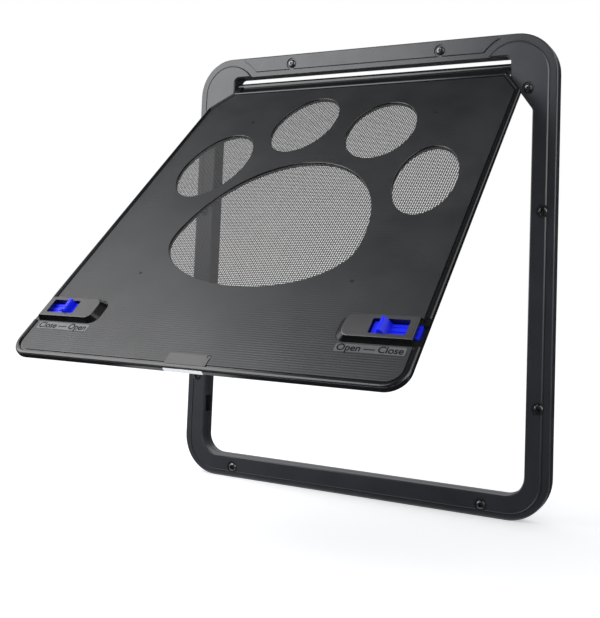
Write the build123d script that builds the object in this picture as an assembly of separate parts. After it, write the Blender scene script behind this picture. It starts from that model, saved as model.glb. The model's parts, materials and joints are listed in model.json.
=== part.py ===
from build123d import *
import os

# A two-way pet door for a fly screen. Two moulded frames clamp the screen between them, and a flap with
# paw-shaped mesh windows hangs from pins in the frame's upper corners. The flap stands open to the front.
# Millimetres. X is to the right, Y goes into the doorway, Z is up. The origin is the middle of the frame's
# outline in the plane of the screen.

# Frame outline and rails
frame_width = 372.0
frame_height = 420.0
frame_corner_radius = 37.0
side_rail = 21.5
top_rail = 20.0
bottom_rail = 20.5
opening_corner_radius = 18.0

# Frame depth: the front and rear halves with the screen between them
front_depth = 8.0
rear_depth = 8.0
screen_gap = 0.6
face_raise = 1.2
face_bevel = 1.0
ledge_side = 7.5
ledge_bottom = 5.5
step_groove_width = 0.9
step_groove_depth = 0.5
frame_edge_round = 1.6

# Corner gussets that carry the hinge
gusset_inset = 20.0
gusset_straight = 21.0
gusset_slope = 27.5
gusset_round = 5.0

# Raised pad on the top rail
pad_raise = 1.0
pad_end_inset = 52.0
pad_end_gap = 7.0
pad_band = 4.5
pad_margin = 1.0

# Screws
screw_top_x = 78.0
screw_bottom_x = 127.3
screw_gusset_inset = 25.5
screw_gusset_drop = 50.0
screw_upper_drop = 157.0
screw_lower_drop = 324.0
screw_head_radius = 4.1
screw_head_height = 2.4
screw_head_round = 1.4
screw_shank_radius = 1.6
screw_hole_clearance = 0.3
screw_bite_clearance = 0.03
screw_bite = 5.0
screw_recess_radius = 5.7
screw_boss_radius = 5.0
cross_width = 1.0
cross_length = 4.4
cross_depth = 1.3

# Hinge
hinge_drop = 9.3
hinge_pin_radius = 2.0
hinge_pin_chamfer = 0.4
hinge_running_clearance = 0.05
hinge_press_clearance = 0.02
hinge_pin_hold = 14.0
hinge_pin_reach = 10.0
hinge_end_gap = 1.5
hinge_roll_radius = 4.0
open_angle = 46.0

# Flap
swing_gap = 2.0
side_gap = 4.5
shoulder_gap = 1.5
shoulder_slope = 28.0
skin = 2.0
rim_height = 1.0
rim_width = 3.8
rim_round = 2.2
rim_bevel = 0.8
groove_width = 1.6
groove_depth = 0.5
flap_corner_radius = 16.0
flap_shoulder_round = 8.0
panel_drop = 11.0
neck_thickness = 3.4
knuckle_length = 7.0
window_bevel = 0.4

# Paw windows: the pad's widest line lies below the hinge, and the toes are placed from its middle
paw_drop = 238.0
pad_middle = -1.3
pad_half_width = 84.9
pad_rise = 101.3
pad_fall = 49.8
pad_turn = -4.0
toes = {
    "outer_left": (-99.4, 102.1, 32.2, 45.8, -4.5),
    "inner_left": (-32.5, 161.3, 30.3, 42.5, -2.9),
    "inner_right": (48.2, 147.6, 31.5, 42.3, 7.2),
    "outer_right": (110.7, 75.5, 26.2, 43.7, 7.2),
}

# Mesh
mesh_thickness = 0.4
mesh_margin = 7.0
mesh_corner_radius = 12.0
mesh_pocket_gap = 0.05
mesh_columns = 10
mesh_rows = 10
mesh_strand = 3.0

# Latches
latch_up = 46.0
cover_length = 55.3
cover_height = 23.5
cover_raise = 4.2
cover_side_slope = 2.0
cover_end_slope = 5.0
cover_corner_radius = 8.0
cover_edge_round = 1.0
cover_seat = 0.5
cover_seat_gap = 0.3
cover_edge_inset = 5.5
window_edge_inset = 11.0
window_length = 26.0
window_height = 13.0
window_corner_radius = 1.2
slider_length = 37.6
slider_edge_inset = 3.4
slider_width = 11.6
slider_thickness = 2.5
slider_floor_gap = 0.15
slider_side_gap = 0.3
slider_top_gap = 0.3
slider_travel = 12.0
slider_ridges = 3
slider_ridge_width = 1.8
slider_ridge_height = 0.5
heel_gap = 0.6
heel_raise = 1.2
fin_inset = 27.5
fin_base = 8.0
fin_tip = 2.6
fin_tip_round = 1.0
fin_height = 6.5
fin_lean = 1.5
keeper_spare = 3.0
keeper_width = 8.6
keeper_height = 16.0

# Magnets
magnet_length = 32.0
magnet_thickness = 3.2
magnet_height = 3.2
magnet_fit = 0.03
magnet_burial = 1.5
plate_length = 33.5
plate_height = 9.5
plate_raise = 0.4
plate_seat = 0.8
plate_gap = 0.4
plate_notch = 2.4

# How far a cut runs out beyond the face it opens
cut_over = 1.0

# Small moulding marks on the flap's face
mark_half_span = 92.0
mark_upper_drop = 69.0
mark_lower_drop = 278.5
mark_radius = 1.3
mark_depth = 0.35

# Places worked out from the sizes above
half_width = frame_width / 2
half_height = frame_height / 2
opening_half = half_width - side_rail
opening_top = half_height - top_rail
opening_bottom = bottom_rail - half_height
gusset_half = opening_half - gusset_inset
corner_centre_x = half_width - frame_corner_radius
corner_centre_z = half_height - frame_corner_radius
pad_half_length = half_width - pad_end_inset
ledge_front = face_raise - front_depth
pad_front = ledge_front - pad_raise
hinge_z = opening_top - hinge_drop
flap_half = opening_half - side_gap
flap_length = hinge_z - opening_bottom - swing_gap
roll_half = gusset_half - hinge_end_gap
shoulder_half = gusset_half - shoulder_gap
shoulder_drop = panel_drop + shoulder_slope
latch_drop = flap_length - latch_up
flap_front_face = -skin
cover_outer_x = flap_half - cover_edge_inset
cover_inner_x = cover_outer_x - cover_length
window_outer_x = flap_half - window_edge_inset
window_inner_x = window_outer_x - window_length
slider_outer_x = flap_half - slider_edge_inset
slider_inner_x = slider_outer_x - slider_length
fin_x = flap_half - fin_inset
rim_front = -skin - rim_height
cover_front = -skin - cover_raise
slider_back = -slider_floor_gap
slider_front = slider_back - slider_thickness
flap_pose = Pos(0, 0, hinge_z) * Rot(X=-open_angle)
screw_places = [
    (side * x, z)
    for side in (-1, 1)
    for x, z in (
        (screw_top_x, half_height - top_rail / 2),
        (half_width - screw_gusset_inset, half_height - screw_gusset_drop),
        (half_width - side_rail / 2, half_height - screw_upper_drop),
        (half_width - side_rail / 2, half_height - screw_lower_drop),
        (screw_bottom_x, bottom_rail / 2 - half_height),
    )
]


def slab(sketch, front, back):
    """Extrude a sketch drawn as X across and Z up, between two Y levels."""
    return extrude(Plane.XZ.offset(-back) * sketch, amount=back - front)


def rounded(points, radii):
    """A face with straight sides and one radius for each corner."""
    return make_face(FilletPolyline(*points, radius=radii, close=True))


def rectangle(left, right, low, high, radius=0.0):
    """A rectangle between four edges, with one corner radius."""
    points = [(left, low), (right, low), (right, high), (left, high)]
    return rounded(points, [radius] * len(points))


def both_sides(solid):
    """A solid together with its mirror image across the middle of the door."""
    return solid + mirror(solid, Plane.YZ)


def doorway():
    """The opening's outline, narrowed at the top by the two hinge gussets."""
    half = [
        (opening_half, opening_bottom),
        (opening_half, opening_top - gusset_straight - gusset_slope),
        (gusset_half, opening_top - gusset_straight),
        (gusset_half, opening_top),
    ]
    points = half + [(-x, z) for x, z in reversed(half)]
    radii = [opening_corner_radius, gusset_round, gusset_round, gusset_round]
    return rounded(points, radii + radii[::-1])


def raised_face(grow):
    """The raised band down the sides and along the bottom, with a round head on each gusset, and grown."""
    low = ledge_bottom - half_height - grow
    side = half_width - ledge_side + grow
    head_radius = frame_corner_radius - ledge_side + grow
    points = [(-side, low), (side, low), (side, corner_centre_z), (-side, corner_centre_z)]
    band = rounded(points, [head_radius, head_radius, 0, 0])
    for x in (-corner_centre_x, corner_centre_x):
        band += Pos(x, corner_centre_z) * Circle(head_radius)
    return band - doorway()


def top_pad():
    """The raised pad along the top rail, with hollow ends that follow the round heads."""
    low = opening_top + pad_band
    high = half_height - pad_margin
    pad = rectangle(-pad_half_length, pad_half_length, low, high)
    for x in (-corner_centre_x, corner_centre_x):
        pad -= Pos(x, corner_centre_z) * Circle(frame_corner_radius - ledge_side + pad_end_gap)
    return pad


def bevelled(sketch, front, back, bevel):
    """A slab whose front edges are bevelled."""
    block = slab(sketch, front, back)
    return chamfer(block.edges().group_by(Axis.Y)[0], bevel)


def frame_ring(front, back):
    """The plain ring of one frame half, with its outer front edge rounded."""
    outline = RectangleRounded(frame_width, frame_height, frame_corner_radius)
    block = slab(outline, front, back)
    block = fillet(block.edges().group_by(Axis.Y)[0], frame_edge_round)
    return block - slab(doorway(), front - cut_over, back + cut_over)


def keeper_slots():
    """The slots in the side rails that take the latch bolts when the flap hangs closed."""
    length = slider_travel + keeper_spare
    slot = Box(length, keeper_width, keeper_height, align=(Align.MIN, Align.CENTER, Align.CENTER))
    return both_sides(Pos(opening_half - side_gap, 0, hinge_z - latch_drop) * slot)


def hinge_sockets():
    """The bores in the gussets that the hinge pins turn in."""
    bore = Cylinder(hinge_pin_radius + hinge_running_clearance, hinge_pin_reach + hinge_end_gap)
    middle = roll_half + (hinge_pin_reach + hinge_end_gap) / 2
    return both_sides(Pos(middle, 0, hinge_z) * Rot(Y=90) * bore)


def frame_magnet_block(fit):
    """The bar magnet buried in the bottom rail, grown by a fit."""
    top = opening_bottom - magnet_burial
    block = Box(magnet_length + 2 * fit, magnet_thickness + 2 * fit, magnet_height + 2 * fit)
    return Pos(0, 0, top - magnet_height / 2) * block


def frame_cuts():
    """What is cut from both frame halves."""
    return keeper_slots() + hinge_sockets() + frame_magnet_block(magnet_fit)


def screw_hole(radius, front, back):
    """The same round hole at every screw."""
    hole = Sketch() + [Pos(x, z) * Circle(radius) for x, z in screw_places]
    return slab(hole, front, back)


def make_front_frame():
    """Front half: stepped border, round-headed gussets, top pad and screw recesses."""
    seam = -screen_gap / 2
    ring = frame_ring(ledge_front, seam)
    groove = raised_face(step_groove_width) - raised_face(0)
    ring -= slab(groove, ledge_front - cut_over, ledge_front + step_groove_depth)
    ring += bevelled(raised_face(0), -front_depth, ledge_front + face_raise, face_bevel)
    ring += bevelled(top_pad(), pad_front, ledge_front + face_raise, pad_raise / 2)
    ring -= screw_hole(screw_recess_radius, -front_depth - cut_over, ledge_front)
    ring -= screw_hole(screw_shank_radius + screw_hole_clearance, -front_depth - cut_over, 0)
    return ring - frame_cuts()


def make_rear_frame():
    """Rear half: the same border seen from behind, with a boss for each screw."""
    seam = screen_gap / 2
    ring = frame_ring(face_raise - rear_depth, -seam)
    ring += bevelled(raised_face(0), -rear_depth, 2 * face_raise - rear_depth, face_bevel)
    ring = mirror(ring, Plane.XZ)
    ring += screw_hole(screw_boss_radius, -seam, seam + cut_over)
    bite = screw_bite + screen_gap
    ring -= screw_hole(screw_shank_radius + screw_bite_clearance, -seam - cut_over, bite)
    return ring - frame_cuts()


def make_screw():
    """A pan-head screw with a cross recess, standing on Z with its head up."""
    head = Cylinder(screw_head_radius, screw_head_height, align=(Align.CENTER, Align.CENTER, Align.MIN))
    head = fillet(head.edges().sort_by(Axis.Z)[-1], screw_head_round)
    for turn in (0, 90):
        arm = Box(cross_length, cross_width, cross_depth, align=(Align.CENTER, Align.CENTER, Align.MAX))
        head -= Pos(0, 0, screw_head_height) * Rot(Z=turn) * arm
    length = screw_bite - ledge_front
    return head + Cylinder(screw_shank_radius, length, align=(Align.CENTER, Align.CENTER, Align.MAX))


def make_frame_screws():
    """Ten screws through the front half into the rear one."""
    screw = Rot(X=90) * make_screw()
    return Compound(children=[Pos(x, ledge_front, z) * screw for x, z in screw_places])


def flap_outline():
    """The flap's outline below its hinge roll, with shoulders that clear the gussets."""
    half = [(flap_half, -flap_length), (flap_half, -shoulder_drop), (shoulder_half, -panel_drop)]
    points = half + [(-x, z) for x, z in reversed(half)]
    radii = [flap_corner_radius, flap_shoulder_round, flap_shoulder_round / 2]
    return rounded(points, radii + radii[::-1])


def toe_windows():
    """The four oval toe windows."""
    ovals = Sketch()
    for x, rise, across, along, turn in toes.values():
        ovals += Pos(x, rise - paw_drop) * Rot(Z=turn) * Ellipse(across, along)
    return ovals


def pad_window():
    """The main pad's window: a tall half oval above its widest line and a flat one below."""
    half_turn = 180
    upper = EllipticalCenterArc((0, 0), pad_half_width, pad_rise, 0, arc_size=half_turn)
    lower = EllipticalCenterArc((0, 0), pad_half_width, pad_fall, half_turn, arc_size=half_turn)
    return Pos(pad_middle, -paw_drop) * Rot(Z=pad_turn) * make_face([upper, lower])


def paw_windows():
    """All five windows."""
    return toe_windows() + pad_window()


def flap_skin():
    """One skin of the flap, drawn as the front one: a plate, a rounded rim and a groove inside it."""
    outline = flap_outline()
    inner = offset(outline, -rim_width)
    body = slab(outline, rim_front, 0)
    body = fillet(body.edges().group_by(Axis.Y)[0], rim_round)
    body -= slab(inner, rim_front - cut_over, flap_front_face)
    crest = body.faces().sort_by(Axis.Y)[0]
    body = chamfer(crest.inner_wires()[0].edges(), rim_bevel)
    groove = inner - offset(outline, -rim_width - groove_width)
    body -= slab(groove, rim_front, flap_front_face + groove_depth)
    body -= slab(paw_windows(), rim_front, cut_over)
    curves = [edge for edge in body.edges() if edge.geom_type not in (GeomType.LINE, GeomType.CIRCLE)]
    return chamfer(ShapeList(curves).group_by(Axis.Y)[0], window_bevel)


def cover_outline(gap, end_gap):
    """A right-hand latch cover's outline, grown by one gap at its long sides and one at its inner end."""
    low = -latch_drop - cover_height / 2 - gap
    high = -latch_drop + cover_height / 2 + gap
    left = cover_inner_x - end_gap
    radius = cover_corner_radius + gap
    points = [(left, low), (cover_outer_x, low), (cover_outer_x, high), (left, high)]
    return rounded(points, [radius, 0, 0, radius])


def slider_path(gap):
    """The channel that a right-hand slider runs in, from its inner end to past the flap's edge."""
    half = slider_width / 2 + gap
    return rectangle(slider_inner_x - gap, flap_half + cut_over, -latch_drop - half, -latch_drop + half)


def latch_cuts():
    """What the right-hand latch removes from the front skin: the cover's seat and the slider's channel."""
    grown = cover_outline(cover_seat_gap, cover_seat_gap) + rectangle(
        cover_outer_x - cut_over,
        flap_half + cut_over,
        -latch_drop - cover_height / 2 - cover_seat_gap,
        -latch_drop + cover_height / 2 + cover_seat_gap,
    )
    seat = slab(grown, rim_front - cut_over, flap_front_face + cover_seat)
    return seat + slab(slider_path(slider_side_gap), rim_front, cut_over)


def flap_magnet_block(fit):
    """The bar magnet in the flap's bottom edge, grown by a fit."""
    block = Box(magnet_length + 2 * fit, magnet_thickness + 2 * fit, magnet_height + fit)
    return Pos(0, 0, magnet_height / 2 - flap_length - fit / 2) * block


def plate_outline(gap):
    """The small cover plate just above the bottom rim, grown by a gap."""
    low = rim_width - flap_length
    half = plate_length / 2 + gap
    return rectangle(-half, half, low - gap, low + plate_height + gap, plate_raise)


def moulding_marks():
    """Four small round dimples in the flap's face."""
    marks = Sketch()
    for x in (-mark_half_span, mark_half_span):
        for drop in (mark_upper_drop, mark_lower_drop):
            marks += Pos(x, -drop) * (Circle(mark_radius) - Circle(mark_radius / 2))
    return slab(marks, flap_front_face - cut_over, flap_front_face + mark_depth)


def hinge_roll():
    """The roll along the flap's top edge, its neck and the two end knuckles, bored for the pins."""
    roll = Rot(Y=90) * Cylinder(hinge_roll_radius, 2 * roll_half)
    neck_half = neck_thickness / 2
    neck = slab(rectangle(-roll_half, roll_half, -panel_drop, 0), -neck_half, neck_half)
    lap = slab(rectangle(-roll_half, roll_half, -panel_drop - rim_width, 0), -neck_half, 0)
    knuckle = slab(
        rectangle(shoulder_half - knuckle_length, shoulder_half, -panel_drop - cut_over, 0),
        rim_front,
        -rim_front,
    )
    knuckle -= slab(rectangle(0, half_width, -half_height, -panel_drop), 0, cut_over - rim_front)
    bore = Cylinder(hinge_pin_radius + hinge_press_clearance, hinge_pin_hold)
    bores = both_sides(Pos(roll_half - hinge_pin_hold / 2, 0, 0) * Rot(Y=90) * bore)
    return roll + neck + lap + both_sides(knuckle) - bores


def make_flap_front():
    """Front skin with the hinge roll, latch channels, magnet pocket and plate seat."""
    body = flap_skin() + hinge_roll()
    body -= both_sides(latch_cuts())
    body -= slab(plate_outline(plate_gap), rim_front, flap_front_face + plate_seat)
    body -= moulding_marks()
    return body - flap_magnet_block(magnet_fit)


def mesh_outline(gap):
    """The mesh sheet's outline: a rounded rectangle a margin wider than the paw, grown by a gap."""
    box = paw_windows().bounding_box()
    grow = mesh_margin + gap
    low, high = box.min.Y - grow, box.max.Y + grow
    return rectangle(box.min.X - grow, box.max.X + grow, low, high, mesh_corner_radius)


def make_flap_back():
    """Rear skin: the front one's mirror image, with a shallow pocket for the mesh."""
    body = mirror(flap_skin(), Plane.XZ)
    body -= slab(mesh_outline(mesh_pocket_gap), -cut_over, mesh_thickness + 2 * mesh_pocket_gap)
    return body - flap_magnet_block(magnet_fit)


def make_flap_mesh():
    """The mesh sheet, as a wall with a grid of gaps between its strands."""
    sheet = mesh_outline(0)
    box = sheet.bounding_box()
    pitch_x = (box.size.X - 2 * mesh_margin) / mesh_columns
    pitch_z = (box.size.Y - 2 * mesh_margin) / mesh_rows
    gap = Rectangle(pitch_x - mesh_strand, pitch_z - mesh_strand)
    middle = box.center()
    sheet -= Pos(middle.X, middle.Y) * GridLocations(pitch_x, pitch_z, mesh_columns, mesh_rows) * gap
    return slab(sheet, mesh_pocket_gap, mesh_pocket_gap + mesh_thickness)


def make_latch_cover():
    """Right-hand latch cover: a housing with sloping sides and a window, hollow where the slider runs."""
    foot = cover_outline(0, 0)
    crown = cover_outline(-cover_side_slope, -cover_end_slope)
    block = loft([Plane.XZ.offset(-flap_front_face) * foot, Plane.XZ.offset(-cover_front) * crown])
    block = fillet(block.edges().group_by(Axis.Y)[0], cover_edge_round)
    block += slab(foot, flap_front_face, flap_front_face + cover_seat)
    low = -latch_drop - window_height / 2
    window = rectangle(window_inner_x, window_outer_x, low, low + window_height, window_corner_radius)
    block -= slab(window, cover_front - cut_over, 0)
    return block - slab(slider_path(slider_side_gap), slider_front - slider_top_gap, cut_over)


def make_latch_slider():
    """Right-hand slider: a ribbed plate with a finger fin, whose outer end is the bolt."""
    half = slider_width / 2
    low, high = -latch_drop - half, -latch_drop + half
    plate = rectangle(slider_inner_x, slider_outer_x, low, high, slider_ridge_height)
    slider = slab(plate, slider_front + slider_ridge_height, slider_back)
    pitch = slider_width / slider_ridges
    for index in range(slider_ridges):
        z = -latch_drop + (index - (slider_ridges - 1) / 2) * pitch
        ridge = rectangle(
            slider_inner_x + slider_ridge_width,
            slider_outer_x - slider_ridge_width,
            z - slider_ridge_width / 2,
            z + slider_ridge_width / 2,
        )
        slider += slab(ridge, slider_front, slider_back - slider_thickness / 2)
    heel_inner_x = window_inner_x + heel_gap
    heel = rectangle(heel_inner_x, fin_x, low, high, slider_ridge_height)
    slider += slab(heel, slider_front - heel_raise, slider_back - slider_thickness / 2)
    base = slider_back - slider_thickness / 2
    tip = slider_front - fin_height
    profile = Polygon(
        (fin_x - fin_base / 2, base),
        (fin_x + fin_base / 2, base),
        (fin_x + fin_tip / 2 - fin_lean, tip),
        (fin_x - fin_tip / 2 - fin_lean, tip),
        align=None,
    )
    fin = extrude(Plane.XY.offset(-latch_drop) * profile, amount=half, both=True)
    fin = fillet(fin.edges().filter_by(Axis.Z).group_by(Axis.Y)[0], fin_tip_round)
    return slider + fin


def make_magnet_cover():
    """The smooth plate over the flap's magnet, with a notch to lift it by."""
    plate = slab(plate_outline(0), flap_front_face - plate_raise, flap_front_face + plate_seat)
    edge = plate_length / 2
    top = rim_width + plate_height - flap_length
    notch = rectangle(edge - plate_notch, edge + cut_over, top - plate_notch, top + cut_over)
    return plate - slab(notch, flap_front_face - plate_raise - cut_over, flap_front_face)


def make_hinge_pin():
    """Right-hand hinge pin, half in the flap's roll and half in the frame's gusset."""
    length = hinge_pin_hold + hinge_end_gap + hinge_pin_reach
    pin = Cylinder(hinge_pin_radius, length)
    pin = chamfer(pin.edges(), hinge_pin_chamfer)
    return Pos(roll_half - hinge_pin_hold + length / 2, 0, 0) * Rot(Y=90) * pin


def left_of(solid):
    """The left-hand twin of a right-hand piece."""
    return mirror(solid, Plane.YZ)


def build():
    """Every piece by name, at rest with the flap open."""
    cover = make_latch_cover()
    slider = make_latch_slider()
    pin = make_hinge_pin()
    on_frame = {
        "front_frame": make_front_frame(),
        "rear_frame": make_rear_frame(),
        "frame_screws": make_frame_screws(),
        "frame_magnet": frame_magnet_block(0),
    }
    on_flap = {
        "flap_front": make_flap_front(),
        "flap_back": make_flap_back(),
        "flap_mesh": make_flap_mesh(),
        "flap_magnet": flap_magnet_block(0),
        "magnet_cover": make_magnet_cover(),
        "hinge_pin_right": pin,
        "hinge_pin_left": left_of(pin),
        "latch_cover_right": cover,
        "latch_cover_left": left_of(cover),
        "latch_slider_right": slider,
        "latch_slider_left": left_of(slider),
    }
    return on_frame | {name: flap_pose * piece for name, piece in on_flap.items()}


os.makedirs("parts", exist_ok=True)
for node, piece in build().items():
    export_step(piece, f"parts/{node}.step")
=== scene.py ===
import json
import math

import bmesh
import bpy
from bpy.props import FloatProperty, FloatVectorProperty, IntProperty, PointerProperty
from bpy.types import Operator, Panel, PropertyGroup
from mathutils import Euler, Matrix, Vector


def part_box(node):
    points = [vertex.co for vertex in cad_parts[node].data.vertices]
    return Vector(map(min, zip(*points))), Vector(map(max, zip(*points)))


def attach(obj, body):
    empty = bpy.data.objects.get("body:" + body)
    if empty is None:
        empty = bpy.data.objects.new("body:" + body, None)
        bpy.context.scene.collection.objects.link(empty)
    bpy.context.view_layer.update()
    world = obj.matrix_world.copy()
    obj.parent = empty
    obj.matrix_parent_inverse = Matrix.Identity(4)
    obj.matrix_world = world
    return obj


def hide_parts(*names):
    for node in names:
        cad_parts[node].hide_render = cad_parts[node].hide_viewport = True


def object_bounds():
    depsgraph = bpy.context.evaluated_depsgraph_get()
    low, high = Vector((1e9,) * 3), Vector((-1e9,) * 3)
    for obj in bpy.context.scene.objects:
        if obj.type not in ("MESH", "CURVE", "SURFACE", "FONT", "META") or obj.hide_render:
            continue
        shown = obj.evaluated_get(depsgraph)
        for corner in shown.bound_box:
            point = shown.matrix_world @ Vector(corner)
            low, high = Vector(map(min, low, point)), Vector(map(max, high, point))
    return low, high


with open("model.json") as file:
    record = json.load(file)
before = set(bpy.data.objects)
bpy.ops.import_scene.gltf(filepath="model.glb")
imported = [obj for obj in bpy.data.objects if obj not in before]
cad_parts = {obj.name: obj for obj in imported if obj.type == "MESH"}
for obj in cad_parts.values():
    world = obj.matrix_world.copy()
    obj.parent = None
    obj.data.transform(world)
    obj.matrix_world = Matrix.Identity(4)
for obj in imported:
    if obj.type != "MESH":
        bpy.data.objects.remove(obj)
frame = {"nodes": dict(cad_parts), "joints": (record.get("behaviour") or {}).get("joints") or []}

bl_info = {
    "name": "Pet Door Finish",
    "version": (1, 0, 0),
    "blender": (4, 5, 0),
    "location": "3D View > Sidebar > Pet Door",
    "description": "Woven mesh, screws, latch wording, finishes and studio for a fly screen pet door",
    "category": "Object",
}

# The frame that the solids come in: metres, X to the right, Y into the doorway, Z up
CAD_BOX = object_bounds()
MM = 0.001
HINGE = Vector(next(joint["pos_m"] for joint in frame["joints"] if joint["name"] == "flap_swing"))
OPEN_ANGLE = math.radians(46)
FLAP_POSE = Matrix.Translation(HINGE) @ Matrix.Rotation(-OPEN_ANGLE, 4, "X")

# The flap in its own frame: the hinge is the origin, Z goes up along the flap and -Y is its front
SKIN = 2.0 * MM
COVER_LEVEL = 6.2 * MM
LEVEL_TOLERANCE = 0.15 * MM
PANEL_TOP = -16.5 * MM
PAW_DROP = 238.0 * MM
MESH_LEVEL = -0.5 * MM
LATCH_DROP = 322.2 * MM

# Each window: middle across, middle above the pad's widest line, half width, rise, fall and turn
WINDOWS = {
    "pad": (-1.3, 0.0, 84.9, 101.3, 49.8, -4.0),
    "outer_left_toe": (-99.4, 102.1, 32.2, 45.8, 45.8, -4.5),
    "inner_left_toe": (-32.5, 161.3, 30.3, 42.5, 42.5, -2.9),
    "inner_right_toe": (48.2, 147.6, 31.5, 42.3, 42.3, 7.2),
    "outer_right_toe": (110.7, 75.5, 26.2, 43.7, 43.7, 7.2),
}

# The strips and words under the latches
LABEL_DROP = 16.6 * MM
LABEL_INSET = 3.5 * MM
STRIP_ROUNDING = 1.0 * MM
WORD_DEPTH = 0.1 * MM
STROKE_SHARE = 0.02
CORNER_STEPS = 4

# A screw head's outline, as shares of its radius and height, and its cross
HEAD_PROFILE = (
    (0.0, 1.0),
    (0.35, 0.98),
    (0.62, 0.88),
    (0.84, 0.66),
    (0.96, 0.36),
    (1.0, 0.14),
    (0.97, 0.0),
    (0.0, 0.0),
)
HEAD_STEPS = 32
CROSS_ROUNDING = 0.05
CROSS_FLOOR_LENGTH = 0.55
CROSS_FLOOR_WIDTH = 0.7
MERGE_DISTANCE = 1e-6

# Plain finishes: colour, roughness and scale of the grain or the streaks
PLATE_FINISH = ((0.042, 0.042, 0.044), 0.34, 3200.0)
STRIP_FINISH = ((0.11, 0.112, 0.117), 0.34, 3500.0)
INK_FINISH = ((0.005, 0.005, 0.005), 0.5, 3500.0)
SCREW_FINISH = ((0.16, 0.16, 0.165), 0.24, 3000.0)
NICKEL_FINISH = ((0.80, 0.82, 0.86), 0.22, 3000.0)
STEEL_FINISH = ((0.60, 0.60, 0.61), 0.30, 2500.0)

# The other finishes: a scale is per metre, a depth is a share of the colour, a spread is to either side
COVER_COLOUR = (0.030, 0.030, 0.033)
GLOSS = 0.8
CLOUD_SCALE = 35.0
CLOUD_DEPTH = 0.25
WEAR_SCALE = 60.0
WEAR_DETAIL = 4.0
WEAR_SPREAD = 0.06
GRAIN_HEIGHT = 0.02 * MM
TOP_ROUGHNESS = 0.44
SIDE_ROUGHNESS = 0.22
# Mottling of the latch covers' tops, and also the share of painted shade that darkens their sides
COVER_DEPTH_AND_SIDE_SHADE = 0.85
COVER_GRAIN = 3000.0
PANEL_ROUGHNESS = 0.42
RIM_ROUGHNESS = 0.20
PANEL_CLOUD_SCALE = 25.0
# Mottling of the flap's panel, and also the share of painted shade that darkens its rims, roll and walls
PANEL_DEPTH_AND_OFF_PANEL_SHADE = 0.5
PANEL_GRAIN = 1400.0
PANEL_RELIEF = 0.05 * MM
PANEL_WEAR_SCALE = 40.0
PANEL_WEAR_SPREAD = 0.05
LINE_SHARE = 0.5
STREAK_LENGTH = 20.0
STREAK_DETAIL = 3.0
STREAK_DEPTH = 0.12
STREAK_SPREAD = 0.08
STREAK_HEIGHT = 0.004 * MM
STRAND_ROUGHNESS = 0.5
STRAND_CLOUD_SCALE = 300.0
STRAND_DEPTH = 0.35
STRAND_GRAIN = 4000.0
STRAND_GRAIN_HEIGHT = 0.01 * MM

# The studio
WHITE = (1.0, 1.0, 1.0, 1.0)
FLOOR_HALF = 4.0
FLOOR_COLOUR = (0.80, 0.81, 0.83, 1.0)
FLOOR_GLOW = 0.42
KEY_PLACE = (-0.606, -0.684, 0.517)
KEY_TARGET = (0.0, -0.1, 0.0)
KEY_SIZE = 0.93
FLAG_FLOOR = CAD_BOX[0].z + 0.2 * MM
REFLECTOR_FLOOR = FLAG_FLOOR + 1.0 * MM

# Cards that only gloss sees: how bright each is, and two opposite corners
CARDS = {
    "flag_overhead": (0.0, (-3.0, -2.5, 1.8), (1.0, 0.9, 1.8)),
    "flag_front": (0.0, (-3.0, -2.5, -0.2), (3.0, -2.5, 1.8)),
    "flag_low": (0.0, (-3.0, -2.5, FLAG_FLOOR), (3.0, -0.012, FLAG_FLOOR)),
    "flag_behind": (0.0, (-3.0, 0.02, FLAG_FLOOR), (3.0, 3.0, FLAG_FLOOR)),
    "flag_right": (0.0, (0.25, 1.5, -0.2), (3.0, 1.5, 1.5)),
    "card_back": (0.5, (-3.0, 3.0, -0.2), (0.25, 3.0, 1.5)),
    "reflector_low": (1.0, (-0.16, -0.32, REFLECTOR_FLOOR), (-0.05, -0.18, REFLECTOR_FLOOR)),
    "reflector_right": (2.5, (2.0, -1.2, 0.1), (2.0, 0.4, 1.6)),
}

# The photo's camera, found by fitting the door's edges
CAMERA_PLACE = (0.35441, -0.73694, -0.00838)
CAMERA_TURN = (93.5387, -2.0112, 25.8127)
CAMERA_SHIFT = (-0.0917, -0.1386)
SENSOR_WIDTH = 36.0
VIEW_LIMIT = 20.0


class MeshSettings(PropertyGroup):
    """Sizes of the woven mesh behind the paw windows."""

    pitch: FloatProperty(
        name="Pitch", description="Distance between strands", default=1.9 * MM, unit="LENGTH", precision=5
    )
    strand: FloatProperty(
        name="Strand", description="Width of one strand", default=0.92 * MM, unit="LENGTH", precision=5
    )
    flatness: FloatProperty(
        name="Flatness",
        description="A strand's thickness as a share of its width",
        default=0.4,
        min=0.0,
        max=1.0,
        subtype="FACTOR",
    )
    margin: FloatProperty(
        name="Margin",
        description="How far the strands run into the skins past a window's edge",
        default=1.6 * MM,
        unit="LENGTH",
        precision=5,
    )
    sides: IntProperty(
        name="Sides", description="Sides of one strand", default=5, min=3, subtype="UNSIGNED"
    )


class ScrewSettings(PropertyGroup):
    """Sizes of the cross-head screws round the frame."""

    head_radius: FloatProperty(
        name="Head Radius",
        description="Outer radius of the head",
        default=4.1 * MM,
        unit="LENGTH",
        precision=5,
    )
    head_height: FloatProperty(
        name="Head Height",
        description="Height of the domed head",
        default=2.4 * MM,
        unit="LENGTH",
        precision=5,
    )
    slot_width: FloatProperty(
        name="Slot Width",
        description="Width of each arm of the cross",
        default=1.1 * MM,
        unit="LENGTH",
        precision=5,
    )
    slot_length: FloatProperty(
        name="Slot Length",
        description="Length of each arm of the cross",
        default=4.6 * MM,
        unit="LENGTH",
        precision=5,
    )
    slot_depth: FloatProperty(
        name="Slot Depth", description="Depth of the cross", default=1.5 * MM, unit="LENGTH", precision=5
    )
    seed: IntProperty(
        name="Seed", description="Chooses how far each screw is turned", default=7, subtype="UNSIGNED"
    )


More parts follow.
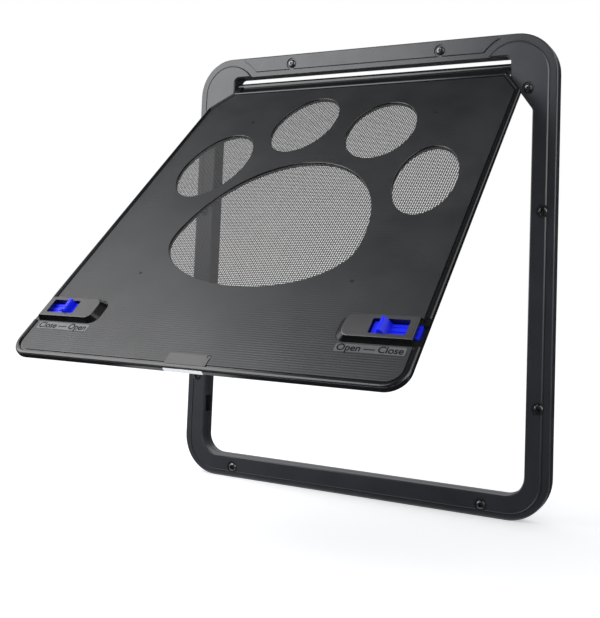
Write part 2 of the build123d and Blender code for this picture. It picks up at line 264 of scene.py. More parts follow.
class LabelSettings(PropertyGroup):
    """Sizes of the smooth strips and the words under the latches."""

    length: FloatProperty(
        name="Length", description="Length of one strip", default=49.0 * MM, unit="LENGTH", precision=5
    )
    height: FloatProperty(
        name="Height", description="Height of one strip", default=6.6 * MM, unit="LENGTH", precision=5
    )
    raised: FloatProperty(
        name="Raised",
        description="How far a strip stands above the panel",
        default=0.15 * MM,
        unit="LENGTH",
        precision=5,
    )
    letter: FloatProperty(
        name="Letter", description="Size of the words", default=7.5 * MM, unit="LENGTH", precision=5
    )


class FinishSettings(PropertyGroup):
    """Colours of the finishes, and the spacing of the flap's lines."""

    frame_colour: FloatVectorProperty(
        name="Frame", description="Satin black of the frame", default=(0.032, 0.035, 0.042), subtype="COLOR"
    )
    flap_colour: FloatVectorProperty(
        name="Flap", description="Lined black of the flap", default=(0.020, 0.021, 0.024), subtype="COLOR"
    )
    slider_colour: FloatVectorProperty(
        name="Sliders", description="Blue of the latch sliders", default=(0.004, 0.016, 0.95), subtype="COLOR"
    )
    mesh_colour: FloatVectorProperty(
        name="Mesh", description="Grey of the coated mesh", default=(0.044, 0.044, 0.046), subtype="COLOR"
    )
    line_pitch: FloatProperty(
        name="Line Pitch",
        description="Spacing of the flap's moulded lines",
        default=2.0 * MM,
        unit="LENGTH",
        precision=5,
    )


class StageSettings(PropertyGroup):
    """The camera's lens and the strength of the light."""

    lens: FloatProperty(name="Lens", description="Focal length", default=50.351, unit="CAMERA")
    key: FloatProperty(
        name="Key", description="Power of the large lamp on the left", default=9.0, unit="POWER"
    )
    fill: FloatProperty(
        name="Fill",
        description="Strength of the light from all round",
        default=0.75,
        min=0.0,
        subtype="UNSIGNED",
    )


def add(tree, kind, inputs=None, **settings):
    """Add one node, give it its settings, and set or link its inputs."""
    node = tree.nodes.new(kind)
    for name, value in settings.items():
        setattr(node, name, value)
    for key, value in (inputs or {}).items():
        if isinstance(value, bpy.types.NodeSocket):
            tree.links.new(value, node.inputs[key])
        else:
            node.inputs[key].default_value = value
    return node


def reckon(tree, operation, *values):
    """One step of arithmetic on numbers or sockets."""
    return add(tree, "ShaderNodeMath", dict(enumerate(values)), operation=operation).outputs[0]


def shown(name, data):
    """A new object in the scene for a mesh, a curve, a lamp or a camera."""
    piece = bpy.data.objects.new(name, data)
    bpy.context.scene.collection.objects.link(piece)
    return piece


def settled(name, carrier):
    """A plain mesh of what an object's modifiers make, and the object is removed."""
    bpy.context.view_layer.update()
    made = carrier.evaluated_get(bpy.context.evaluated_depsgraph_get())
    mesh = bpy.data.meshes.new_from_object(made)
    mesh.name = name
    carrier.modifiers.clear()
    bpy.data.objects.remove(carrier)
    return mesh


def grown(name, start, tree, values):
    """The mesh that a geometry tree makes from a first mesh and from its inputs, given by name."""
    carrier = shown(name, start)
    modifier = carrier.modifiers.new(tree.name, "NODES")
    modifier.node_group = tree
    for item in tree.interface.items_tree:
        if item.in_out == "INPUT" and item.name in values:
            modifier[item.identifier] = values[item.name]
    return settled(name, carrier)


def geometry_tree(name, inputs):
    """An empty geometry tree with named inputs, and its input sockets and output node."""
    tree = bpy.data.node_groups.new(name, "GeometryNodeTree")
    tree.interface.new_socket("Geometry", in_out="OUTPUT", socket_type="NodeSocketGeometry")
    for label, kind in inputs.items():
        tree.interface.new_socket(label, in_out="INPUT", socket_type=f"NodeSocket{kind}")
    return tree, tree.nodes.new("NodeGroupInput").outputs, tree.nodes.new("NodeGroupOutput")


def painted(tree, geometry, given, result):
    """Gives the finished geometry its material and hands it to the tree's output."""
    real = add(tree, "GeometryNodeRealizeInstances", {"Geometry": geometry})
    coat = add(
        tree, "GeometryNodeSetMaterial", {"Geometry": real.outputs[0], "Material": given["Material"]}
    )
    tree.links.new(coat.outputs[0], result.inputs[0])


def inside_window(tree, given, across, along):
    """Whether a point of the flap lies within the window's outline plus its margin."""
    cosine = reckon(tree, "COSINE", given["Turn"])
    sine = reckon(tree, "SINE", given["Turn"])
    east = reckon(tree, "SUBTRACT", across, given["Middle Across"])
    north = reckon(tree, "SUBTRACT", along, given["Middle Along"])
    turned_east = reckon(
        tree, "ADD", reckon(tree, "MULTIPLY", east, cosine), reckon(tree, "MULTIPLY", north, sine)
    )
    turned_north = reckon(
        tree, "SUBTRACT", reckon(tree, "MULTIPLY", north, cosine), reckon(tree, "MULTIPLY", east, sine)
    )
    above = reckon(tree, "GREATER_THAN", turned_north, 0.0)
    reach = add(
        tree,
        "ShaderNodeMix",
        {"Factor": above, "A": given["Fall"], "B": given["Rise"]},
        data_type="FLOAT",
    ).outputs[0]
    wide = reckon(tree, "DIVIDE", turned_east, reckon(tree, "ADD", given["Half Width"], given["Margin"]))
    tall = reckon(tree, "DIVIDE", turned_north, reckon(tree, "ADD", reach, given["Margin"]))
    distance = reckon(
        tree, "ADD", reckon(tree, "MULTIPLY", wide, wide), reckon(tree, "MULTIPLY", tall, tall)
    )
    return reckon(tree, "LESS_THAN", distance, 1.0)


def strand_lines(tree, given, upright):
    """Straight parallel lines a pitch apart across the whole window, with two points to each half pitch."""
    half_pitch = reckon(tree, "MULTIPLY", given["Pitch"], 0.5)
    reach = reckon(
        tree, "MAXIMUM", given["Half Width"], reckon(tree, "MAXIMUM", given["Rise"], given["Fall"])
    )
    half_count = reckon(
        tree, "CEIL", reckon(tree, "DIVIDE", reckon(tree, "ADD", reach, given["Margin"]), given["Pitch"])
    )
    count = reckon(tree, "ADD", reckon(tree, "MULTIPLY", half_count, 2.0), 1.0)
    start_across = reckon(tree, "SNAP", given["Middle Across"], given["Pitch"])
    start_along = reckon(tree, "SNAP", given["Middle Along"], given["Pitch"])
    back = reckon(tree, "MULTIPLY", half_count, given["Pitch"])
    far = reckon(tree, "MULTIPLY", reckon(tree, "SUBTRACT", count, 0.5), half_pitch)
    near = reckon(tree, "MULTIPLY", far, -1.0)
    first = reckon(tree, "SUBTRACT", start_across if upright else start_along, back)
    run_axis, step_axis = ("Z", "X") if upright else ("X", "Z")
    origin = {run_axis: start_along if upright else start_across, step_axis: first}
    starts = add(
        tree,
        "GeometryNodeMeshLine",
        {
            "Count": count,
            "Start Location": add(tree, "ShaderNodeCombineXYZ", origin).outputs[0],
            "Offset": add(tree, "ShaderNodeCombineXYZ", {step_axis: given["Pitch"]}).outputs[0],
        },
        mode="OFFSET",
    )
    run = add(
        tree,
        "GeometryNodeCurvePrimitiveLine",
        {
            "Start": add(tree, "ShaderNodeCombineXYZ", {run_axis: near}).outputs[0],
            "End": add(tree, "ShaderNodeCombineXYZ", {run_axis: far}).outputs[0],
        },
    )
    fine = add(
        tree,
        "GeometryNodeResampleCurve",
        {"Curve": run.outputs[0], "Count": reckon(tree, "MULTIPLY", count, 2.0)},
    )
    placed = add(
        tree, "GeometryNodeInstanceOnPoints", {"Points": starts.outputs[0], "Instance": fine.outputs[0]}
    )
    return add(tree, "GeometryNodeRealizeInstances", {"Geometry": placed.outputs[0]}).outputs[0]


def strands(tree, given, upright):
    """One set of parallel strands, crimped over and under the other set and cut to the window."""
    lines = strand_lines(tree, given, upright)
    place = add(tree, "ShaderNodeSeparateXYZ", {0: add(tree, "GeometryNodeInputPosition").outputs[0]})
    across, along = place.outputs["X"], place.outputs["Z"]
    column = reckon(tree, "ROUND", reckon(tree, "DIVIDE", across, given["Pitch"]))
    row = reckon(tree, "ROUND", reckon(tree, "DIVIDE", along, given["Pitch"]))
    odd = reckon(tree, "FLOORED_MODULO", reckon(tree, "ADD", column, row), 2.0)
    side = reckon(tree, "SUBTRACT", reckon(tree, "MULTIPLY", odd, 2.0), 1.0)
    thickness = reckon(tree, "MULTIPLY", given["Strand"], given["Flatness"])
    crimp = reckon(tree, "MULTIPLY", thickness, 0.5 if upright else -0.5)
    sway = add(tree, "ShaderNodeCombineXYZ", {"Y": reckon(tree, "MULTIPLY", side, crimp)})
    bent = add(tree, "GeometryNodeSetPosition", {"Geometry": lines, "Offset": sway.outputs[0]})
    outside = reckon(tree, "SUBTRACT", 1.0, inside_window(tree, given, across, along))
    cut = add(
        tree,
        "GeometryNodeDeleteGeometry",
        {"Geometry": bent.outputs[0], "Selection": outside},
        domain="POINT",
    )
    points = add(tree, "GeometryNodeSplineLength").outputs["Point Count"]
    stub = reckon(tree, "LESS_THAN", points, 2.0)
    whole = add(
        tree, "GeometryNodeDeleteGeometry", {"Geometry": cut.outputs[0], "Selection": stub}, domain="CURVE"
    )
    ring = add(
        tree,
        "GeometryNodeCurvePrimitiveCircle",
        {"Resolution": given["Sides"], "Radius": reckon(tree, "MULTIPLY", given["Strand"], 0.5)},
        mode="RADIUS",
    )
    thin, broad = ("Y", "X") if upright else ("X", "Y")
    press = add(tree, "ShaderNodeCombineXYZ", {thin: given["Flatness"], broad: 1.0, "Z": 1.0})
    pressed = add(
        tree, "GeometryNodeTransform", {"Geometry": ring.outputs[0], "Scale": press.outputs[0]}
    )
    return add(
        tree,
        "GeometryNodeCurveToMesh",
        {"Curve": whole.outputs[0], "Profile Curve": pressed.outputs[0], "Fill Caps": True},
    ).outputs[0]


def weave_tree():
    """A plain weave of flattened strands behind one window, in the flap's own frame."""
    weave = ("Pitch", "Strand", "Flatness", "Margin")
    window = ("Middle Across", "Middle Along", "Half Width", "Rise", "Fall", "Turn")
    inputs = {name: "Float" for name in weave + window} | {"Sides": "Int", "Material": "Material"}
    tree, given, result = geometry_tree("Woven Mesh", inputs)
    joined = tree.nodes.new("GeometryNodeJoinGeometry")
    for upright in (True, False):
        tree.links.new(strands(tree, given, upright), joined.inputs[0])
    smooth = add(tree, "GeometryNodeSetShadeSmooth", {"Geometry": joined.outputs[0]})
    painted(tree, smooth.outputs[0], given, result)
    return tree


def screw_tree():
    """The same screw on every given point, each turned by its own chance amount about Y."""
    inputs = {"Points": "Geometry", "Screw": "Object", "Seed": "Int", "Material": "Material"}
    tree, given, result = geometry_tree("Screws", inputs)
    template = add(tree, "GeometryNodeObjectInfo", {"Object": given["Screw"]}).outputs["Geometry"]
    turn = add(
        tree,
        "FunctionNodeRandomValue",
        {"Seed": given["Seed"]},
        data_type="FLOAT_VECTOR",
    )
    turn.inputs[0].default_value = (0.0, 0.0, 0.0)
    turn.inputs[1].default_value = (0.0, math.pi / 2, 0.0)
    placed = add(
        tree,
        "GeometryNodeInstanceOnPoints",
        {"Points": given["Points"], "Instance": template, "Rotation": turn.outputs[0]},
    )
    painted(tree, placed.outputs[0], given, result)
    return tree


def new_finish(name, colour, roughness, specular=GLOSS, metallic=0.0):
    """A material with a plain shader, and its tree and shader node."""
    material = bpy.data.materials.new(name)
    material.use_nodes = True
    tree = material.node_tree
    shader = tree.nodes["Principled BSDF"]
    shader.inputs["Base Color"].default_value = (*colour, 1.0)
    shader.inputs["Roughness"].default_value = roughness
    shader.inputs["Specular IOR Level"].default_value = specular
    shader.inputs["Metallic"].default_value = metallic
    return material, tree, shader


def object_point(tree, stretch=(1.0, 1.0, 1.0)):
    """A point of the piece in the shared frame, stretched along the axes."""
    coordinates = tree.nodes.new("ShaderNodeTexCoord")
    return add(
        tree, "ShaderNodeMapping", {"Vector": coordinates.outputs["Object"], "Scale": stretch}
    ).outputs[0]


def flap_point(tree):
    """A point of the piece in the flap's own frame."""
    coordinates = tree.nodes.new("ShaderNodeTexCoord")
    return add(
        tree,
        "ShaderNodeMapping",
        {"Vector": coordinates.outputs["Object"], "Location": HINGE, "Rotation": (-OPEN_ANGLE, 0.0, 0.0)},
        vector_type="TEXTURE",
    ).outputs[0]


def noise(tree, point, scale, detail=2.0):
    """Even noise from 0 to 1."""
    return add(
        tree, "ShaderNodeTexNoise", {"Vector": point, "Scale": scale, "Detail": detail}
    ).outputs["Fac"]


def spread(tree, value, middle, reach):
    """A 0 to 1 value spread to either side of a middle."""
    limits = {"To Min": middle - reach, "To Max": middle + reach}
    return add(tree, "ShaderNodeMapRange", {"Value": value} | limits).outputs[0]


def mottled(tree, shader, colour, value, depth):
    """Darkens and lightens a colour by a 0 to 1 value."""
    dark = [part * (1.0 - depth) for part in colour]
    light = [part * (1.0 + depth) for part in colour]
    ramp = add(tree, "ShaderNodeValToRGB", {"Fac": value})
    for element, shade in zip(ramp.color_ramp.elements, (dark, light)):
        element.color = (*shade, 1.0)
    tree.links.new(ramp.outputs["Color"], shader.inputs["Base Color"])


def bumped(tree, shader, height, distance):
    """Gives the shader a bump of a height field."""
    bump = add(tree, "ShaderNodeBump", {"Height": height, "Distance": distance})
    tree.links.new(bump.outputs[0], shader.inputs["Normal"])


def flat_face(tree, point, level):
    """1 on the faces that lie at a level of the flap, in front or behind, and 0 elsewhere."""
    depth = reckon(tree, "ABSOLUTE", add(tree, "ShaderNodeSeparateXYZ", {0: point}).outputs["Y"])
    return reckon(tree, "COMPARE", depth, level, LEVEL_TOLERANCE)


def two_finishes(tree, face, on_face, elsewhere):
    """One roughness on a flat face and another elsewhere."""
    return reckon(tree, "ADD", reckon(tree, "MULTIPLY", face, on_face - elsewhere), elsewhere)


def satin_plastic(name, colour, roughness, grain, specular=GLOSS, metallic=0.0):
    """A moulded or coated piece with a fine spark-eroded grain."""
    material, tree, shader = new_finish(name, colour, roughness, specular, metallic)
    point = object_point(tree)
    mottled(tree, shader, colour, noise(tree, point, CLOUD_SCALE), CLOUD_DEPTH)
    worn = noise(tree, point, WEAR_SCALE, WEAR_DETAIL)
    tree.links.new(spread(tree, worn, roughness, WEAR_SPREAD), shader.inputs["Roughness"])
    bumped(tree, shader, noise(tree, point, grain), GRAIN_HEIGHT)
    return material


def faced_plastic(name, colour, level):
    """Moulded plastic with a grained flat top at a level of the flap, and polished sides darkened by painted
    shade.
    """
    material, tree, shader = new_finish(name, colour, TOP_ROUGHNESS, specular=1.0)
    point = flap_point(tree)
    face = flat_face(tree, point, level)
    # Off the flat top this is 0, so the ramp paints the sides at 0.15 of the colour: painted shade
    clouds_and_painted_shade = reckon(tree, "MULTIPLY", face, noise(tree, point, CLOUD_SCALE))
    mottled(tree, shader, colour, clouds_and_painted_shade, COVER_DEPTH_AND_SIDE_SHADE)
    rough = two_finishes(tree, face, TOP_ROUGHNESS, SIDE_ROUGHNESS)
    tree.links.new(rough, shader.inputs["Roughness"])
    bumped(tree, shader, noise(tree, point, COVER_GRAIN), GRAIN_HEIGHT)
    return material


def lined_black(name, colour, line_pitch):
    """The flap's plastic: fine moulded lines across the flat panel, smooth on rims and roll, which painted
    shade darkens with everything else off the panel.
    """
    material, tree, shader = new_finish(name, colour, PANEL_ROUGHNESS)
    point = flap_point(tree)
    along = add(tree, "ShaderNodeSeparateXYZ", {0: point}).outputs["Z"]
    below = reckon(tree, "LESS_THAN", along, PANEL_TOP)
    panel = reckon(tree, "MULTIPLY", flat_face(tree, point, SKIN), below)
    # Off the flat panel this is 0, so the ramp paints rims, roll and walls at half the colour: painted shade
    clouds_and_painted_shade = reckon(tree, "MULTIPLY", panel, noise(tree, point, PANEL_CLOUD_SCALE))
    mottled(tree, shader, colour, clouds_and_painted_shade, PANEL_DEPTH_AND_OFF_PANEL_SHADE)
    lines = reckon(tree, "SINE", reckon(tree, "MULTIPLY", along, 2.0 * math.pi / line_pitch))
    grain = noise(tree, point, PANEL_GRAIN)
    height = reckon(tree, "ADD", reckon(tree, "MULTIPLY", lines, LINE_SHARE), grain)
    bumped(tree, shader, reckon(tree, "MULTIPLY", height, panel), PANEL_RELIEF)
    rough = two_finishes(tree, panel, PANEL_ROUGHNESS, RIM_ROUGHNESS)
    worn = spread(tree, noise(tree, point, PANEL_WEAR_SCALE, WEAR_DETAIL), 0.0, PANEL_WEAR_SPREAD)
    tree.links.new(reckon(tree, "ADD", rough, worn), shader.inputs["Roughness"])
    return material


def brushed_metal(name, colour, roughness, streaks):
    """Bright metal with fine streaks along X."""
    material, tree, shader = new_finish(name, colour, roughness, specular=0.5, metallic=1.0)
    point = object_point(tree, (streaks / STREAK_LENGTH, streaks, streaks))
    streak = noise(tree, point, 1.0, STREAK_DETAIL)
    mottled(tree, shader, colour, streak, STREAK_DEPTH)
    tree.links.new(spread(tree, streak, roughness, STREAK_SPREAD), shader.inputs["Roughness"])
    bumped(tree, shader, streak, STREAK_HEIGHT)
    return material


def coated_strand(name, colour):
    """Coated fibreglass strand, a little uneven in colour."""
    material, tree, shader = new_finish(name, colour, STRAND_ROUGHNESS)
    point = object_point(tree)
    mottled(tree, shader, colour, noise(tree, point, STRAND_CLOUD_SCALE), STRAND_DEPTH)
    bumped(tree, shader, noise(tree, point, STRAND_GRAIN), STRAND_GRAIN_HEIGHT)
    return material


def wear_finish(node, material):
    """Gives a solid that is kept its finish."""
    slots = frame["nodes"][node].data.materials
    slots.clear()
    slots.append(material)


def finished_mesh(name, bm):
    """A mesh of what was built, and the builder is freed."""
    mesh = bpy.data.meshes.new(name)
    bm.to_mesh(mesh)
    bm.free()
    return mesh


def box_mesh(name, size, rounding):
    """A plate in the XZ plane with rounded corners, its back at Y 0 and its front towards -Y."""
    width, depth, height = size
    bm = bmesh.new()
    bmesh.ops.create_cube(bm, size=1.0)
    bmesh.ops.scale(bm, vec=(width, depth, height), verts=bm.verts)
    bmesh.ops.translate(bm, vec=(0.0, -depth / 2, 0.0), verts=bm.verts)
    corners = [edge for edge in bm.edges if abs(edge.verts[0].co.y - edge.verts[1].co.y) > depth / 2]
    bmesh.ops.bevel(
        bm, geom=corners, offset=rounding, segments=CORNER_STEPS, affect="EDGES", profile=0.5
    )
    return finished_mesh(name, bm)


def words_mesh(name, words, size, depth):
    """Raised words in the XZ plane, read from the front, their middle at the origin."""
    curve = bpy.data.curves.new(name, "FONT")
    curve.body = words
    curve.size = size
    curve.extrude = depth / 2
    curve.offset = size * STROKE_SHARE
    curve.align_x = "CENTER"
    curve.align_y = "CENTER"
    mesh = settled(name, shown(name, curve))
    mesh.transform(Matrix.Rotation(math.radians(90), 4, "X"))
    return mesh


def head_mesh(radius, height):
    """A domed screw head without its cross, facing -Y, its seat at Y 0."""
    bm = bmesh.new()
    ring = [bm.verts.new((across * radius, -along * height, 0.0)) for across, along in HEAD_PROFILE]
    edges = [bm.edges.new(pair) for pair in zip(ring, ring[1:])]
    bmesh.ops.spin(
        bm,
        geom=ring + edges,
        cent=(0.0, 0.0, 0.0),
        axis=(0.0, 1.0, 0.0),
        angle=2.0 * math.pi,
        steps=HEAD_STEPS,
    )
    bmesh.ops.remove_doubles(bm, verts=bm.verts, dist=MERGE_DISTANCE)
    bmesh.ops.recalc_face_normals(bm, faces=bm.faces)
    return finished_mesh("screw_head", bm)


def screw_mesh(settings):
    """One pan-head screw head with a tapered cross recess, facing -Y, its seat at Y 0."""
    height = settings.head_height
    carrier = shown("screw_head", head_mesh(settings.head_radius, height))
    cutters = []
    for turn in (0.0, 90.0):
        cutter = shown("cross_arm", box_mesh("cross_arm", (1.0, 1.0, 1.0), CROSS_ROUNDING))
        for vertex in cutter.data.vertices:
            deep = vertex.co.y > -0.5
            wide = settings.slot_length * (CROSS_FLOOR_LENGTH if deep else 1.0)
            thin = settings.slot_width * (CROSS_FLOOR_WIDTH if deep else 1.0)
            level = settings.slot_depth if deep else -height
            vertex.co = (vertex.co.x * wide, level - height, vertex.co.z * thin)
        cutter.data.transform(Matrix.Rotation(math.radians(turn), 4, "Y"))
        cut = carrier.modifiers.new("cross", "BOOLEAN")
        cut.object = cutter
        cut.solver = "EXACT"
        cutters.append(cutter)
    mesh = settled("screw", carrier)
    for cutter in cutters:
        bpy.data.objects.remove(cutter)
    return mesh


def screw_seats(head_height):
    """The middle of each screw's seat, read from the solids that the screws replace."""
    bm = bmesh.new()
    bm.from_mesh(frame["nodes"]["frame_screws"].data)
    bmesh.ops.remove_doubles(bm, verts=bm.verts, dist=MERGE_DISTANCE)
    crowns, left = [], set(bm.verts)
    while left:
        group, front = set(), [next(iter(left))]
        while front:
            vertex = front.pop()
            if vertex not in group:
                group.add(vertex)
                front += [edge.other_vert(vertex) for edge in vertex.link_edges]
        left -= group
        low = Vector(min(vertex.co[axis] for vertex in group) for axis in range(3))
        high = Vector(max(vertex.co[axis] for vertex in group) for axis in range(3))
        crowns.append(Vector(((low.x + high.x) / 2, low.y, (low.z + high.z) / 2)))
    bm.free()
    return [tuple(crown + Vector((0.0, head_height, 0.0))) for crown in sorted(crowns, key=tuple)]


def straight_rays(tree):
    """1 for rays from the camera, from gloss and through glass, and 0 for the rest."""
    path = tree.nodes.new("ShaderNodeLightPath")
    seen = reckon(tree, "MAXIMUM", path.outputs["Is Camera Ray"], path.outputs["Is Glossy Ray"])
    return reckon(tree, "MAXIMUM", seen, path.outputs["Is Transmission Ray"])


def seen_or_lit(tree, light, view, output):
    """One shader for what looks straight, another for what is lit, in an otherwise empty tree."""
    mix = add(tree, "ShaderNodeMixShader", {0: straight_rays(tree), 1: light, 2: view})
    tree.links.new(mix.outputs[0], tree.nodes.new(output).inputs[0])


class PETDOOR_OT_frame(Operator):
    """Finish the two frame halves and the magnet inside them"""

    bl_idname = "petdoor.frame"
    bl_label = "Frame"

    def execute(self, context):
        colours = context.scene.petdoor_finish
        satin = satin_plastic("satin frame plastic", colours.frame_colour, roughness=0.32, grain=2600.0)
        nickel = brushed_metal("nickel magnet", *NICKEL_FINISH)
        wear_finish("front_frame", satin)
        wear_finish("rear_frame", satin)
        wear_finish("frame_magnet", nickel)
        return {"FINISHED"}


class PETDOOR_OT_screws(Operator):
    """Set a cross-head screw in each recess of the frame"""

    bl_idname = "petdoor.screws"
    bl_label = "Screws"

    def execute(self, context):
        settings = context.scene.petdoor_screws
        black = satin_plastic("black screw", *SCREW_FINISH, metallic=0.9)
        template = shown("screw_template", screw_mesh(settings))
        seats = bpy.data.meshes.new("seats")
        seats.from_pydata(screw_seats(settings.head_height), [], [])
        values = {"Screw": template, "Seed": settings.seed, "Material": black}
        mesh = grown("cross_head_screws", seats, screw_tree(), values)
        bpy.data.objects.remove(template)
        piece = shown("cross_head_screws", mesh)
        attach(piece, "frame")
        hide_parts("frame_screws")
        return {"FINISHED"}


class PETDOOR_OT_flap(Operator):
    """Finish the flap's two skins, its hinge pins, magnet and cover plate"""

    bl_idname = "petdoor.flap"
    bl_label = "Flap"

    def execute(self, context):
        colours = context.scene.petdoor_finish
        lined = lined_black("lined flap plastic", colours.flap_colour, colours.line_pitch)
        smooth = satin_plastic("smooth cover plate", *PLATE_FINISH)
        steel = brushed_metal("drawn steel pin", *STEEL_FINISH)
        wear_finish("flap_front", lined)
        wear_finish("flap_back", lined)
        wear_finish("magnet_cover", smooth)
        wear_finish("flap_magnet", bpy.data.materials["nickel magnet"])
        wear_finish("hinge_pin_left", steel)
        wear_finish("hinge_pin_right", steel)
        return {"FINISHED"}


class PETDOOR_OT_mesh(Operator):
    """Weave the mesh behind each of the paw windows"""

    bl_idname = "petdoor.mesh"
    bl_label = "Woven Mesh"

    def execute(self, context):
        settings = context.scene.petdoor_mesh
        coated = coated_strand("coated mesh strand", context.scene.petdoor_finish.mesh_colour)
        tree = weave_tree()
        for window, (across, along, half, rise, fall, turn) in WINDOWS.items():
            name = f"woven_mesh_{window}"
            values = {
                "Pitch": settings.pitch,
                "Strand": settings.strand,
                "Flatness": settings.flatness,
                "Margin": settings.margin,
                "Middle Across": across * MM,
                "Middle Along": along * MM - PAW_DROP,
                "Half Width": half * MM,
                "Rise": rise * MM,
                "Fall": fall * MM,
                "Turn": math.radians(turn),
                "Sides": settings.sides,
                "Material": coated,
            }
            mesh = grown(name, bpy.data.meshes.new(name), tree, values)
            if not mesh.polygons:
                raise RuntimeError(f"the weave of {window} came out empty")
            mesh.transform(FLAP_POSE @ Matrix.Translation((0.0, MESH_LEVEL, 0.0)))
            piece = shown(name, mesh)
            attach(piece, "flap")
            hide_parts("flap_mesh")
        return {"FINISHED"}


class PETDOOR_OT_latches(Operator):
    """Finish the latch covers and sliders, and add the worded strips under them"""

    bl_idname = "petdoor.latches"
    bl_label = "Latches"

    def execute(self, context):
        colours = context.scene.petdoor_finish
        labels = context.scene.petdoor_labels
        cover = faced_plastic("latch cover plastic", COVER_COLOUR, COVER_LEVEL)
        blue = satin_plastic(
            "blue slider plastic", colours.slider_colour, roughness=0.30, grain=2500.0, specular=0.5
        )
        strip = satin_plastic("smooth label strip", *STRIP_FINISH)
        ink = satin_plastic("dark lettering", *INK_FINISH, specular=0.2)
        middle_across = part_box("latch_cover_right")[0].x + labels.length / 2 + LABEL_INSET
        middle_along = -LATCH_DROP - LABEL_DROP
        for side, across, words in (
            ("left", -middle_across, "Close — Open"),
            ("right", middle_across, "Open — Close"),
        ):
            wear_finish(f"latch_cover_{side}", cover)
            wear_finish(f"latch_slider_{side}", blue)
            place = FLAP_POSE @ Matrix.Translation((across, -SKIN, middle_along))
            size = (labels.length, labels.raised, labels.height)
            plate = box_mesh(f"label_strip_{side}", size, STRIP_ROUNDING)
            text = words_mesh(f"label_words_{side}", words, labels.letter, WORD_DEPTH)
            text.transform(Matrix.Translation((0.0, -labels.raised, 0.0)))
            for mesh, material in ((plate, strip), (text, ink)):
                mesh.transform(place)
                mesh.materials.clear()
                mesh.materials.append(material)
                piece = shown(mesh.name, mesh)
                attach(piece, "flap")
        return {"FINISHED"}


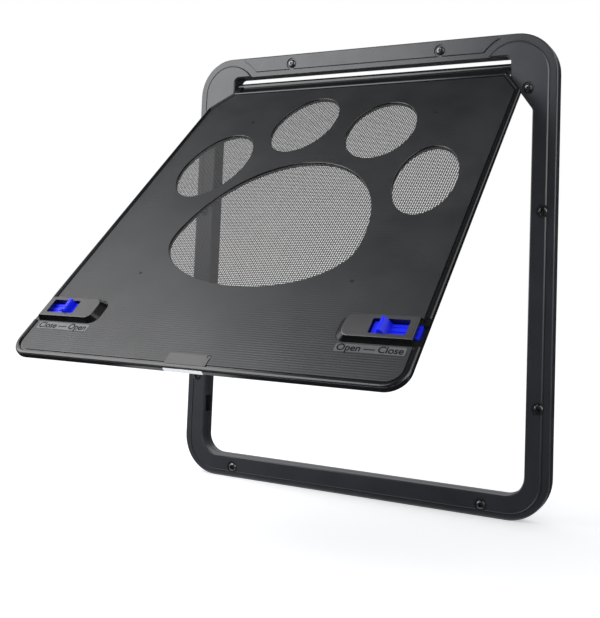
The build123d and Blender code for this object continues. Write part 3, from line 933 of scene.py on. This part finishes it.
class PETDOOR_OT_stage(Operator):
    """Set up the floor, the lamp, the cards, the white surround and the camera"""

    bl_idname = "petdoor.stage"
    bl_label = "Studio"

    def execute(self, context):
        settings = context.scene.petdoor_stage
        scene = context.scene
        scene.view_settings.view_transform = "Standard"
        self.make_floor(CAD_BOX[0].z)
        self.make_surround(scene, settings.fill)
        self.make_key(settings.key)
        for name, (shade, start, end) in CARDS.items():
            self.make_card(name, shade, Vector(start), Vector(end))
        self.make_camera(scene, settings.lens)
        return {"FINISHED"}

    def make_floor(self, level):
        """A wide pale floor that keeps the shadow and shows white where it is lit."""
        half = FLOOR_HALF
        corners = [(x, y, level) for x, y in ((-half, -half), (half, -half), (half, half), (-half, half))]
        mesh = bpy.data.meshes.new("studio_floor")
        mesh.from_pydata(corners, [], [(0, 1, 2, 3)])
        floor = shown("studio_floor", mesh)
        material = bpy.data.materials.new("pale floor")
        material.use_nodes = True
        tree = material.node_tree
        tree.nodes.clear()
        matt = add(tree, "ShaderNodeBsdfDiffuse", {"Color": FLOOR_COLOUR})
        glow = add(tree, "ShaderNodeEmission", {"Color": WHITE, "Strength": FLOOR_GLOW})
        lit = add(tree, "ShaderNodeAddShader", {0: matt.outputs[0], 1: glow.outputs[0]})
        seen_or_lit(tree, matt.outputs[0], lit.outputs[0], "ShaderNodeOutputMaterial")
        mesh.materials.append(material)

    def make_surround(self, scene, fill):
        """White where it is looked at, and a soft fill light for everything else."""
        world = bpy.data.worlds.new("white surround")
        world.use_nodes = True
        tree = world.node_tree
        tree.nodes.clear()
        soft = add(tree, "ShaderNodeBackground", {"Color": WHITE, "Strength": fill})
        white = add(tree, "ShaderNodeBackground", {"Color": WHITE, "Strength": 1.0})
        seen_or_lit(tree, soft.outputs[0], white.outputs[0], "ShaderNodeOutputWorld")
        scene.world = world

    def make_key(self, power):
        """A square softbox on the left, turned to the door."""
        data = bpy.data.lights.new("key softbox", "AREA")
        data.shape = "SQUARE"
        data.size = KEY_SIZE
        data.energy = power
        lamp = shown("key softbox", data)
        lamp.location = KEY_PLACE
        aim = Vector(KEY_TARGET) - Vector(KEY_PLACE)
        lamp.rotation_euler = aim.to_track_quat("-Z", "Y").to_euler()
        lamp.visible_camera = False

    def make_card(self, name, shade, start, end):
        """A flat card between two corners that only gloss sees: a black flag or a white reflector."""
        second, fourth = start.copy(), start.copy()
        wide, tall = (axis for axis in range(3) if start[axis] != end[axis])
        second[wide], fourth[tall] = end[wide], end[tall]
        mesh = bpy.data.meshes.new(name)
        mesh.from_pydata([start, second, end, fourth], [], [(0, 1, 2, 3)])
        card = shown(name, mesh)
        material, _, shader = new_finish(f"{name} face", (0.0, 0.0, 0.0), 1.0, specular=0.0)
        shader.inputs["Emission Color"].default_value = WHITE
        shader.inputs["Emission Strength"].default_value = shade
        mesh.materials.append(material)
        for kind in ("camera", "diffuse", "transmission", "volume_scatter", "shadow"):
            setattr(card, f"visible_{kind}", False)

    def make_camera(self, scene, lens):
        """The photo's camera."""
        data = bpy.data.cameras.new("camera")
        data.lens = lens
        data.sensor_width = SENSOR_WIDTH
        data.shift_x, data.shift_y = CAMERA_SHIFT
        data.clip_end = VIEW_LIMIT
        camera = shown("camera", data)
        camera.location = CAMERA_PLACE
        camera.rotation_euler = Euler(map(math.radians, CAMERA_TURN), "XYZ")
        scene.camera = camera


class PETDOOR_PT_panel(Panel):
    """Lists the steps that dress the door, with their sizes and colours"""

    bl_idname = "PETDOOR_PT_panel"
    bl_label = "Pet Door"
    bl_space_type = "VIEW_3D"
    bl_region_type = "UI"
    bl_category = "Pet Door"

    def draw(self, context):
        layout = self.layout
        for group in SETTINGS:
            box = layout.box()
            for name in SETTINGS[group].__annotations__:
                box.prop(getattr(context.scene, group), name)
        for step in STEPS:
            layout.operator(step.bl_idname)


SETTINGS = {
    "petdoor_mesh": MeshSettings,
    "petdoor_screws": ScrewSettings,
    "petdoor_labels": LabelSettings,
    "petdoor_finish": FinishSettings,
    "petdoor_stage": StageSettings,
}
STEPS = (
    PETDOOR_OT_frame,
    PETDOOR_OT_screws,
    PETDOOR_OT_flap,
    PETDOOR_OT_mesh,
    PETDOOR_OT_latches,
    PETDOOR_OT_stage,
)


def register():
    """Adds the settings, the steps and the panel."""
    for name, group in SETTINGS.items():
        bpy.utils.register_class(group)
        setattr(bpy.types.Scene, name, PointerProperty(type=group))
    for step in (*STEPS, PETDOOR_PT_panel):
        bpy.utils.register_class(step)


def unregister():
    """Takes them away again."""
    for step in reversed((*STEPS, PETDOOR_PT_panel)):
        bpy.utils.unregister_class(step)
    for name, group in SETTINGS.items():
        delattr(bpy.types.Scene, name)
        bpy.utils.unregister_class(group)


def main():
    """Dresses the door."""
    register()
    bpy.ops.petdoor.frame()
    bpy.ops.petdoor.screws()
    bpy.ops.petdoor.flap()
    bpy.ops.petdoor.mesh()
    bpy.ops.petdoor.latches()
    bpy.ops.petdoor.stage()


if __name__ == "__main__":
    main()
